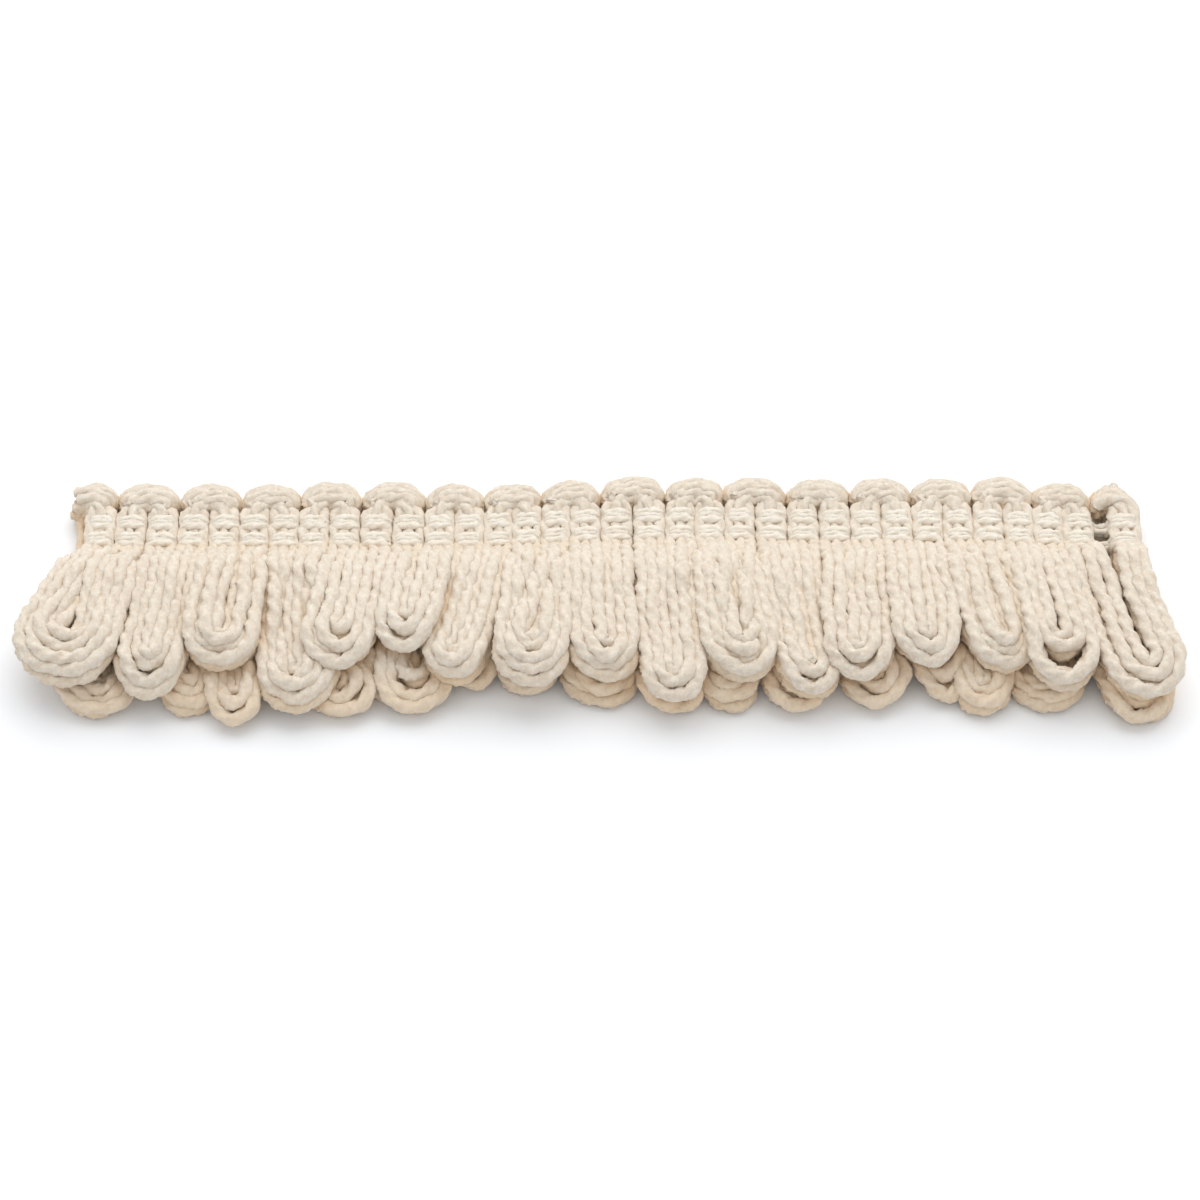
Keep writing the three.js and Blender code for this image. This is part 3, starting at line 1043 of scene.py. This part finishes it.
@dataclass
class ChainRow:
    """One row of chain stitches: an oval link over each leg of the bundle, and a thread beneath the legs."""

    name: str
    y: float
    seed: int
    crown: float = 3.48  # height of a link's middle over the middle of a leg
    dip: float = 1.75  # and between two legs
    half_width: float = 0.58
    thread: float = 0.5
    flatness: float = 2.7  # how far a link runs level before it dips between two legs
    squareness: float = 0.75  # how blunt a link's ends are, from 1 for a plain oval
    overlap: float = 0.15
    pitch: float = 4.0
    widest: float = 1.9  # how far a link reaches beyond the middle of its leg, at most
    outermost: tuple[float, float] = (1.5, 1.4)  # and how far the first and the last one reach
    slant: float = 0.3  # how much higher a link's right end is than its left one
    tail_share: float = 0.8  # size of the thread inside a link
    tail_lift: float = 0.08
    laid_share: float = 0.76  # size of the bare threads between and under the legs
    bridge_side: float = 0.34  # half the distance between the two threads over the last gap
    bridge_height: float = 2.35
    bridge_sag: float = 0.35
    bridge_bow: float = 0.15
    bridge_overlap: float = 0.5
    under_height: float = 0.42
    under_wave: float = 1.86
    under_sway: tuple[float, float] = (0.12, 0.05)  # across and up
    width_range: tuple[float, float] = (0.92, 1.08)  # how the links differ in width
    size_range: tuple[float, float] = (0.95, 1.05)  # in thickness
    side_range: tuple[float, float] = (-0.06, 0.06)  # in place across the row
    crown_range: tuple[float, float] = (-0.08, 0.08)  # and in height
    tail_range: tuple[float, float] = (-0.1, 0.1)  # how the threads inside them differ in place

    def dipped(self, x: Array, left: float, middle: float, right: float, crown: float) -> Array:
        """Bend a thread over a leg.

        Args:
            x: Places along the trim.
            left: The slit to the left of the leg.
            middle: The leg's middle.
            right: The slit to its right.
            crown: The thread's height over the leg.

        Returns:
            The thread's height at each place.
        """
        reach = np.where(x < middle, (middle - x) / (middle - left), (x - middle) / (right - middle))
        return mix(crown, self.dip, smooth(np.abs(reach) ** self.flatness))

    def link(self, left: float, middle: float, right: float, rng: np.random.Generator) -> Array:
        """Shape one link of the chain.

        Args:
            left: The slit to the left of the leg.
            middle: The leg's middle.
            right: The slit to its right.
            rng: Source of small differences between links.

        Returns:
            The link's closed middle line.
        """
        start, end = left - self.overlap, right + self.overlap
        angle = np.linspace(0, 2 * math.pi, 41)
        wide = self.half_width * rng.uniform(*self.width_range)
        across = np.sign(np.sin(angle)) * np.abs(np.sin(angle)) ** self.squareness
        x = (start + end) / 2 - (end - start) / 2 * np.cos(angle)
        y = self.y + wide * across + rng.uniform(*self.side_range)
        tilt = self.slant * (x - middle) / (end - start)
        crown = self.crown + rng.uniform(*self.crown_range)
        return HEADING.bowed(np.column_stack([x, y, self.dipped(x, left, middle, right, crown) + tilt]))

    def tail(self, left: float, middle: float, right: float, rng: np.random.Generator) -> Array:
        """Shape the thread that lies inside a link, where the next link is drawn up through it.

        Args:
            left: The slit to the left of the leg.
            middle: The leg's middle.
            right: The slit to its right.
            rng: Source of small differences between links.

        Returns:
            The thread's middle line.
        """
        x = np.linspace(left, right, 21)
        z = self.dipped(x, left, middle, right, self.crown + self.tail_lift)
        y = np.full(len(x), self.y + rng.uniform(*self.tail_range))
        return HEADING.bowed(np.column_stack([x, y, z]))

    def lay(
        self,
        book: MeshBook,
        line: Array,
        size: float,
        ply: Ply,
        turn: float,
        tone: float = 0.5,
        cover: float = 0.0,
        taper: float = 0.5,
    ) -> None:
        """Lay one thread of even size and tone.

        Args:
            book: The book that takes it.
            line: Its middle line.
            size: Its radius.
            ply: How finely its plies are shaped.
            turn: Where the plies start, in radians.
            tone: Its tone.
            cover: How much it lies under others.
            taper: The last rings' size at both ends, as a share.
        """
        even = np.ones(len(line))
        book.tube(line, size * even, ply, self.pitch, turn, tone * even, cover * even, taper)

    def build(self) -> MeshBook:
        """Build the links over the legs, the threads over the last gap and the one beneath the legs.

        Returns:
            The book that holds them.
        """
        rng = np.random.default_rng(self.seed)
        book = MeshBook(self.name, self.seed)
        legs = [HEADING.leg(k, hand) for k in range(LAST_LOOP + 1) for hand in (-1, 1)]
        halves = [min((b - a) / 2, self.widest) for a, b in zip(legs, legs[1:])]
        lefts = [legs[0] - self.outermost[0]] + [b - half for b, half in zip(legs[1:], halves)]
        rights = [a + half for a, half in zip(legs, halves)] + [legs[-1] + self.outermost[1]]
        for place in zip(lefts, legs, rights):
            link = self.link(*place, rng)
            size, tone = self.thread * rng.uniform(*self.size_range), rng.uniform(0, 1)
            self.lay(book, link, size, Ply.FINE, rng.uniform(0, 6), tone, taper=1.0)
            tail = self.tail(*place, rng)
            self.lay(book, tail, self.tail_share * size, Ply.MIDDLE, rng.uniform(0, 6), tone)
        laid = self.laid_share * self.thread
        for side in (-self.bridge_side, self.bridge_side):
            start = legs[-2] + self.widest - self.bridge_overlap
            end = legs[-1] - self.widest + self.bridge_overlap
            x = np.linspace(start, end, 25)
            sag = np.sin(np.linspace(0, math.pi, 25))
            y = self.y + side + self.bridge_bow * sag * rng.uniform(-1, 1)
            bridge = HEADING.bowed(np.column_stack([x, y, self.bridge_height - self.bridge_sag * sag]))
            self.lay(book, bridge, laid, Ply.MIDDLE, rng.uniform(0, 6))
        x = np.linspace(lefts[0], rights[-1], 260)
        wave, (across, up) = x * self.under_wave, self.under_sway
        y, z = self.y + across * np.sin(wave), self.under_height + up * np.sin(wave + 1)
        # the thread beneath the legs takes half the painted shade of a covered yarn
        self.lay(book, HEADING.bowed(np.column_stack([x, y, z])), laid, Ply.MIDDLE, 0.4, cover=0.5)
        return book


# ------------------------------------------------------------------------------------- shader writing


class Sock:
    """A node socket that takes part in arithmetic and adds the Math nodes it needs."""

    def __init__(self, book: "NodeBook", socket: bpy.types.NodeSocket) -> None:
        """Wrap a socket of a node tree."""
        self.book = book
        self.socket = socket

    def _math(self, operation: str, *values: "Sock | float") -> "Sock":
        """Add one Math node."""
        return self.book.node("ShaderNodeMath", {"operation": operation}, dict(enumerate(values)))

    def __add__(self, other: "Sock | float") -> "Sock":
        """Add."""
        return self._math("ADD", self, other)

    def __radd__(self, other: float) -> "Sock":
        """Add to a number."""
        return self._math("ADD", other, self)

    def __mul__(self, other: "Sock | float") -> "Sock":
        """Multiply."""
        return self._math("MULTIPLY", self, other)

    def __rmul__(self, other: float) -> "Sock":
        """Multiply a number."""
        return self._math("MULTIPLY", other, self)


class NodeBook:
    """Builds the nodes of a material or of the world."""

    def __init__(self, owner: bpy.types.Material | bpy.types.World) -> None:
        """Start an empty node tree.

        Args:
            owner: The material or the world that the nodes belong to.
        """
        owner.use_nodes = True
        self.owner = owner
        self.tree = owner.node_tree
        self.tree.nodes.clear()

    def node(
        self,
        kind: str,
        settings: dict[str, object] | None = None,
        values: dict[str | int, object] | None = None,
        output: str | int = 0,
    ) -> Sock:
        """Add a node.

        Args:
            kind: The node's type.
            settings: Its own settings, set before anything else.
            values: What goes into its sockets, as numbers, colours or other nodes' sockets.
            output: The output to hand back.

        Returns:
            That output, or the input of that number where the node has no output.
        """
        made = self.tree.nodes.new(kind)
        for key, value in (settings or {}).items():
            setattr(made, key, value)
        for key, value in (values or {}).items():
            if isinstance(value, Sock):
                self.tree.links.new(value.socket, made.inputs[key])
            else:
                made.inputs[key].default_value = value
        return Sock(self, (made.outputs if len(made.outputs) else made.inputs)[output])

    def blend(self, low: object, high: object, share: object, kind: str = "MIX") -> Sock:
        """Blend two colours by a share."""
        settings = {"data_type": "RGBA", "blend_type": kind}
        return self.node("ShaderNodeMix", settings, {0: share, 6: low, 7: high}, output=2)

    def attribute(self, name: str) -> Sock:
        """Read a number that the mesh carries."""
        return self.node("ShaderNodeAttribute", {"attribute_name": name}, output="Fac")

    def noise(self, place: Sock, scale: float, detail: float = 2.0, rough: float = 0.5) -> Sock:
        """Make noise from a place."""
        values = {"Vector": place, "Scale": scale, "Detail": detail, "Roughness": rough}
        return self.node("ShaderNodeTexNoise", {}, values)

    def range(self, value: Sock, low: float, high: float, to_low: float, to_high: float) -> Sock:
        """Stretch a range of values onto another, and hold it there."""
        values = {"Value": value, "From Min": low, "From Max": high, "To Min": to_low, "To Max": to_high}
        return self.node("ShaderNodeMapRange", {"clamp": True}, values)

    def close(self, shader: Sock) -> bpy.types.Material | bpy.types.World:
        """End the tree with a shader.

        Args:
            shader: The shader.

        Returns:
            The material or the world that the tree belongs to.
        """
        world = isinstance(self.owner, bpy.types.World)
        self.node("ShaderNodeOutputWorld" if world else "ShaderNodeOutputMaterial", {}, {"Surface": shader})
        return self.owner


def tint(red: float, green: float, blue: float) -> Colour:
    """Turn a colour from its usual 0 to 255 values into linear light.

    Args:
        red: Its red.
        green: Its green.
        blue: Its blue.

    Returns:
        The colour, opaque.
    """

    def linear(value: float) -> float:
        """Turn one value into linear light."""
        part = value / 255
        return part / 12.92 if part <= 0.04045 else ((part + 0.055) / 1.055) ** 2.4

    return linear(red), linear(green), linear(blue), 1.0


@dataclass(frozen=True)
class YarnFinish:
    """The look of a soft plied yarn: pale crests, painted warm shade in the valleys between the plies, fine
    fibres and a nap.
    """

    name: str
    crest: Colour
    # painted shade in the grooves between the plies and in the nap's hollows, and also the colour of random
    # blotches
    valley: Colour
    warm: Colour
    fleck: Colour  # where loose fibres catch the light
    inside: Colour = tint(234, 207, 173)  # painted warm shade under other yarns and on the low loops at the front
    roughness: float = 0.88
    sheen: float = 0.7
    sheen_roughness: float = 0.5
    specular: float = 0.2
    fibre_scale: tuple[float, float, float] = (1.6, 14.0, 1.0)  # along a yarn, and round it
    nap_scale: float = 1500.0  # this and the two below are for each metre
    blotch_scale: float = 260.0
    broad_scale: float = 55.0
    fibre_bump: float = 0.75
    bump_height: float = 0.00018  # in metres, as depth_reach is
    depth: float = 0.2  # share of the light that goes into the yarn
    depth_reach: float = 0.0005  # and how far
    depth_shares: tuple[float, float, float] = (1.0, 0.95, 0.9)  # of that for red, green and blue light
    tone_share: float = 0.6
    broad_share: float = 0.8
    warming: Ramp = (0.35, 1.05, 0.0, 1.0)  # from uneven tone to a share of the warm colour
    blotching: Ramp = (0.52, 0.8, 0.0, 0.22)  # from blotches to a share of the valley colour
    groove_shade: Ramp = (0.0, 1.0, 0.45, 0.0)  # the same, from a valley to a crest, as painted shade in the grooves between the plies
    fibre_flecks: Ramp = (0.54, 0.72, 0.0, 0.75)
    nap_flecks: Ramp = (0.52, 0.68, 0.0, 0.5)
    painted_under_shade: Ramp = (0.0, 1.0, 0.0, 0.8)  # from the cover to a share of the inside colour, as painted shade
    # painted shade in the nap's hollows, where its bump is lowest
    nap_pit_shade: Ramp = (0.32, 0.49, 0.3, 0.0)
    fibre_relief: float = 0.7
    nap_relief: float = 0.8

    def material(self) -> bpy.types.Material:
        """Build the material.

        Returns:
            The material.
        """
        book = NodeBook(bpy.data.materials.new(self.name))
        chart = book.node("ShaderNodeUVMap", {"uv_map": "run"})
        place = book.node("ShaderNodeTexCoord", {}, output="Object")
        lengthwise = book.node("ShaderNodeMapping", {}, {"Vector": chart, "Scale": self.fibre_scale})
        fibres = book.noise(lengthwise, scale=1.0, detail=3.0, rough=0.6)
        blotch = book.noise(place, self.blotch_scale)
        broad = book.noise(place, self.broad_scale, detail=1.0)
        nap = book.noise(place, self.nap_scale, detail=3.0, rough=0.65)
        uneven = book.attribute("tone") * self.tone_share + broad * self.broad_share
        body = book.blend(self.crest, self.warm, book.range(uneven, *self.warming))
        body = book.blend(body, self.valley, book.range(blotch, *self.blotching))
        # painted shade in the grooves between the plies
        body = book.blend(body, self.valley, book.range(book.attribute("ply"), *self.groove_shade))
        body = book.blend(body, self.fleck, book.range(fibres, *self.fibre_flecks))
        body = book.blend(body, self.fleck, book.range(nap, *self.nap_flecks))
        # painted shade where a yarn lies under others, and on the low loops at the front
        colour = book.blend(body, self.inside, book.range(book.attribute("cover"), *self.painted_under_shade))
        # painted shade in the nap's hollows
        colour = book.blend(colour, self.valley, book.range(nap, *self.nap_pit_shade), "MULTIPLY")
        relief = fibres * self.fibre_relief + nap * self.nap_relief
        values = {"Strength": self.fibre_bump, "Distance": self.bump_height, "Height": relief}
        shader = book.node(
            "ShaderNodeBsdfPrincipled",
            {},
            {
                "Base Color": colour,
                "Roughness": self.roughness,
                "Normal": book.node("ShaderNodeBump", {}, values),
                "Sheen Weight": self.sheen,
                "Sheen Roughness": self.sheen_roughness,
                "Sheen Tint": self.crest,
                "Specular IOR Level": self.specular,
                "Subsurface Weight": self.depth,
                "Subsurface Radius": self.depth_shares,
                "Subsurface Scale": self.depth_reach,
            },
        )
        return book.close(shader)


BUNDLE_FINISH = YarnFinish(
    "soft_cream_yarn",
    crest=tint(232, 221, 206),
    valley=tint(222, 207, 188),
    warm=tint(227, 214, 197),
    fleck=tint(244, 237, 225),
)
STITCH_FINISH = YarnFinish(
    "stitch_thread",
    crest=tint(244, 236, 223),
    valley=tint(233, 221, 204),
    warm=tint(240, 230, 215),
    fleck=tint(250, 244, 234),
    roughness=0.8,
    sheen=0.5,
)


# ----------------------------------------------------------------------------------------- the studio


@dataclass(frozen=True)
class Studio:
    """The white floor, the soft light and the camera."""

    target: tuple[float, float, float] = (0.18, -0.92, 2.72)
    distance: float = 450.0
    elevation: float = 50.0
    view_width: float = 133.3  # of what the camera sees across its target
    clip: tuple[float, float] = (0.01, 20.0)  # the nearest and farthest that it sees, in metres
    floor_half: float = 3000.0
    floor_tint: Colour = (0.86, 0.87, 0.88, 1.0)
    floor_seen: Colour = (0.94, 0.955, 0.975, 1.0)
    sky: Colour = (0.96, 0.98, 1.0, 1.0)
    sky_seen: Colour = (1.0, 1.0, 1.0, 1.0)
    sky_strength: float = 0.8
    key_power: float = 4.0
    key_size: float = 900.0
    key_place: tuple[float, float, float] = (40.0, 420.0, 600.0)
    key_colour: tuple[float, float, float] = (1.0, 0.985, 0.96)

    def floor(self) -> None:
        """Make the floor, which is seen white and keeps the trim's shadow."""
        half = self.floor_half * MM
        mesh = bpy.data.meshes.new("floor")
        corners = [(-half, -half, 0), (half, -half, 0), (half, half, 0), (-half, half, 0)]
        mesh.from_pydata(corners, [], [(0, 1, 2, 3)])
        book = NodeBook(bpy.data.materials.new("white_floor"))
        seen = book.node("ShaderNodeLightPath", {}, output="Is Camera Ray")
        colour = book.blend(self.floor_tint, self.floor_seen, seen)
        mesh.materials.append(book.close(book.node("ShaderNodeBsdfDiffuse", {}, {"Color": colour})))
        floor = bpy.data.objects.new("floor", mesh)
        bpy.context.scene.collection.objects.link(floor)

    def light(self) -> None:
        """Make the pale sky and the broad lamp above and behind the trim."""
        book = NodeBook(bpy.data.worlds.new("studio"))
        seen = book.node("ShaderNodeLightPath", {}, output="Is Camera Ray")
        white = book.node("ShaderNodeBackground", {}, {"Color": self.sky_seen})
        sky = book.node("ShaderNodeBackground", {}, {"Color": self.sky, "Strength": self.sky_strength})
        either = book.node("ShaderNodeMixShader", {}, {0: seen, 1: sky, 2: white})
        bpy.context.scene.world = book.close(either)
        lamp = bpy.data.lights.new("key", "AREA")
        lamp.shape = "SQUARE"
        lamp.size = self.key_size * MM
        lamp.energy = self.key_power
        lamp.color = self.key_colour
        holder = bpy.data.objects.new("key", lamp)
        holder.location = Vector(self.key_place) * MM
        holder.rotation_euler = (-holder.location).to_track_quat("-Z", "Y").to_euler()
        bpy.context.scene.collection.objects.link(holder)

    def camera(self) -> None:
        """Make the camera."""
        angle = math.radians(self.elevation)
        back = Vector((0, -math.cos(angle), math.sin(angle)))
        data = bpy.data.cameras.new("camera")
        data.lens = data.sensor_width * self.distance / self.view_width
        data.clip_start, data.clip_end = self.clip
        camera = bpy.data.objects.new("camera", data)
        camera.location = (Vector(self.target) + back * self.distance) * MM
        camera.rotation_euler = (-back).to_track_quat("-Z", "Y").to_euler()
        bpy.context.scene.collection.objects.link(camera)
        bpy.context.scene.camera = camera

    def build(self) -> None:
        """Set up the whole studio."""
        self.floor()
        self.light()
        self.camera()
        bpy.context.scene.view_settings.view_transform = "Standard"


# ------------------------------------------------------------------------------------------- the trim


UPPER = LoopLayer("upper_loops", UPPER_LOOPS, UPPER_SLOTS, base=3.6, row_step=1.12, seed=3)
LOWER = LoopLayer(
    "lower_loops", LOWER_LOOPS, LOWER_SLOTS, base=0.1, row_step=1.08, seed=7, slack=0.5, ragged=0.36
)


@dataclass
class BundlePieces:
    """Turns the settled yarns of both layers into pieces."""

    finish: bpy.types.Material
    pitch: float = 6.5
    pitch_range: tuple[float, float] = (0.94, 1.06)
    tone_drift: float = 0.25  # how much a yarn's tone changes along it
    tone_wave: float = 36.0

    def piece(self, name: str, node: str, yarns: Sequence[Yarn], seed: int) -> None:
        """Build and dress one piece.

        Args:
            name: The piece's name.
            node: The loops' node that it stands for, beside the heading.
            yarns: Its yarns.
            seed: Source of where the plies start.
        """
        rng = np.random.default_rng(seed)
        book = MeshBook(name, seed)
        for yarn in yarns:
            along = np.arange(len(yarn.points)) * POINT_STEP
            drift = 0.5 + wander(along, rng, self.tone_drift, self.tone_wave)[:, 0]
            tone = np.clip(0.5 * yarn.tone + 0.5 * drift, 0, 1)
            pitch = self.pitch * rng.uniform(*self.pitch_range)
            book.tube(yarn.points, yarn.radius, yarn.ply, pitch, rng.uniform(0, 6), tone, yarn.cover)
        dress(book.write(), self.finish, [node, "heading"])


def main() -> None:
    """Build the studio, then the trim piece by piece, and log how large each piece came out."""
    logging.basicConfig(level=logging.INFO, format="%(name)s: %(message)s")
    Studio().build()
    upper, lower = UPPER.yarns(), LOWER.yarns()
    Settler(upper + lower).settle()
    LOG.info("yarns: %.1f m in all", sum(len(y.points) for y in upper + lower) * POINT_STEP * MM)
    pieces = BundlePieces(BUNDLE_FINISH.material())
    pieces.piece("upper_yarns_top", UPPER.node, upper[0:3], 11)
    pieces.piece("upper_yarns_core", UPPER.node, upper[3:6], 12)
    pieces.piece("upper_yarns_base", UPPER.node, upper[6:9], 13)
    pieces.piece("lower_yarns_top", LOWER.node, lower[0:3], 14)
    pieces.piece("lower_yarns_base", LOWER.node, lower[3:7], 15)
    thread = STITCH_FINISH.material()
    for name, y, seed in zip(("chain_row_front", "chain_row_back"), HEADING.chain_rows, (21, 22)):
        stitches = ChainRow(name + "_stitches", y, seed).build().write()
        dress(stitches, thread, [name])


if __name__ == "__main__":
    main()
